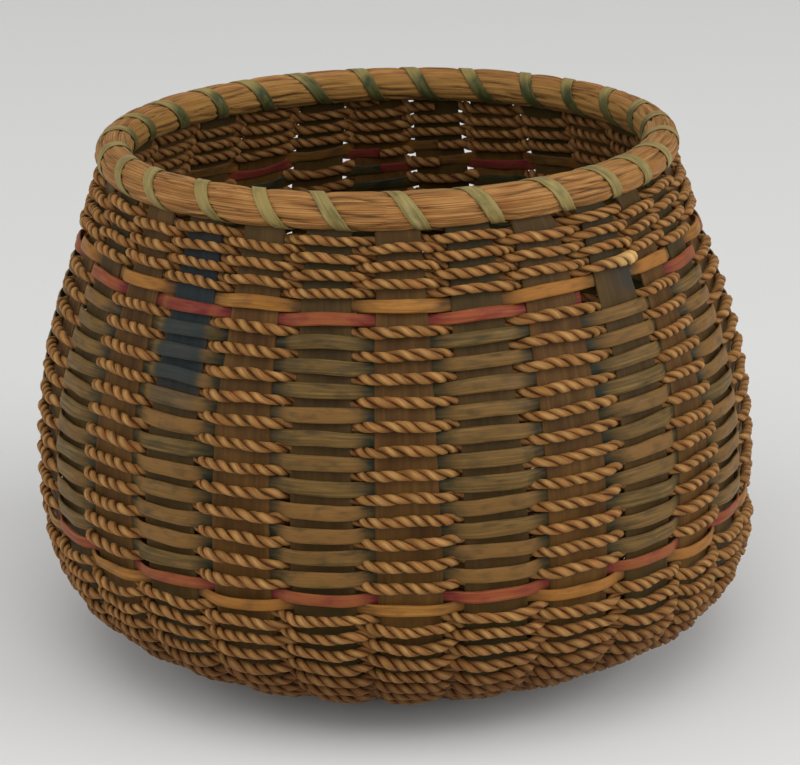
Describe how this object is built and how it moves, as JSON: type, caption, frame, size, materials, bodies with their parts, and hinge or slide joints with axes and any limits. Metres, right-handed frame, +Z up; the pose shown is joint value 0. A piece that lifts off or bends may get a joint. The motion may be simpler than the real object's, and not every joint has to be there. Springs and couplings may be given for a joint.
{
  "type": "ash splint basket",
  "caption": "Round open basket of ash splint stakes woven with twisted cord and dyed splint, with a bound round rim and coloured bands.",
  "frame": {"origin": "middle of the ring that the basket rests on, at the level of the floor", "axes": "+Z up through the mouth, -Y towards the side that the picture shows"},
  "size_m": [0.1952, 0.196, 0.1473],
  "materials": {
    "ash": "aged, matt",
    "cord": "two-ply twisted grass cord, dull sheen",
    "green_splint": "faded green dye, smooth",
    "natural_splint": "undyed, smooth",
    "red_splint": "faded red dye, smooth",
    "rim_grass": "pale split fibres, dry",
    "lashing": "faded green dye, smooth"
  },
  "bodies": {
    "root": {"ash_splint_01": "ash", "ash_splint_02": "ash", "ash_splint_03": "ash", "ash_splint_04": "ash", "ash_splint_05": "ash", "ash_splint_06": "ash", "ash_splint_07": "ash", "ash_splint_08": "ash", "ash_splint_09": "ash", "ash_splint_10": "ash", "ash_splint_11": "ash", "ash_splint_12": "ash", "ash_splint_13": "ash", "ash_splint_14": "ash", "upper_cord_over_even_stakes": "cord", "upper_cord_over_odd_stakes": "cord", "middle_cord": "cord", "lower_cord_over_even_stakes": "cord", "lower_cord_over_odd_stakes": "cord", "middle_green_splint": "green_splint", "upper_natural_band": "natural_splint", "lower_natural_band": "natural_splint", "upper_red_band": "red_splint", "lower_red_band": "red_splint", "base_splint_over_even_stakes": "natural_splint", "base_splint_over_odd_stakes": "natural_splint", "rim_outer_hoop": "rim_grass", "rim_inner_hoop": "rim_grass", "rim_lashing": "lashing"}
  },
  "joints": []
}
